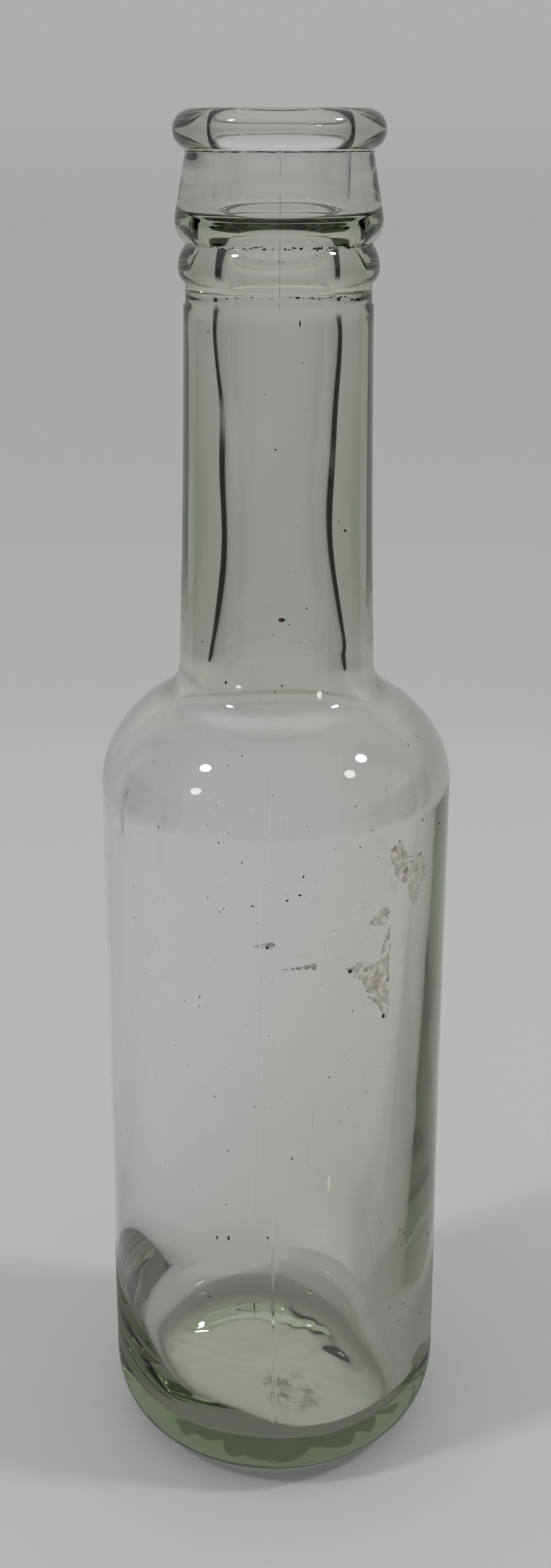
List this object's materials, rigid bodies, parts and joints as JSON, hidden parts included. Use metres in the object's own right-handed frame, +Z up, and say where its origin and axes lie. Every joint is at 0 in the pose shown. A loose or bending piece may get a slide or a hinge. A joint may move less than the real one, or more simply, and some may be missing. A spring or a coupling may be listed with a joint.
{
  "type": "sauce bottle",
  "caption": "Empty slim glass sauce bottle with a round body, domed shoulder, long neck and a rolled lip over a flared collar and a bead.",
  "frame": {"origin": "on the body's axis, in the plane of the surface that the bottle stands on", "axes": "+Z up along the body's axis, +X to the right in the picture, towards the thicker side wall"},
  "size_m": [0.0516, 0.0516, 0.2],
  "materials": {
    "glass": "clear, faintly green, glossy"
  },
  "bodies": {
    "root": {"bottle": "glass"}
  },
  "joints": []
}
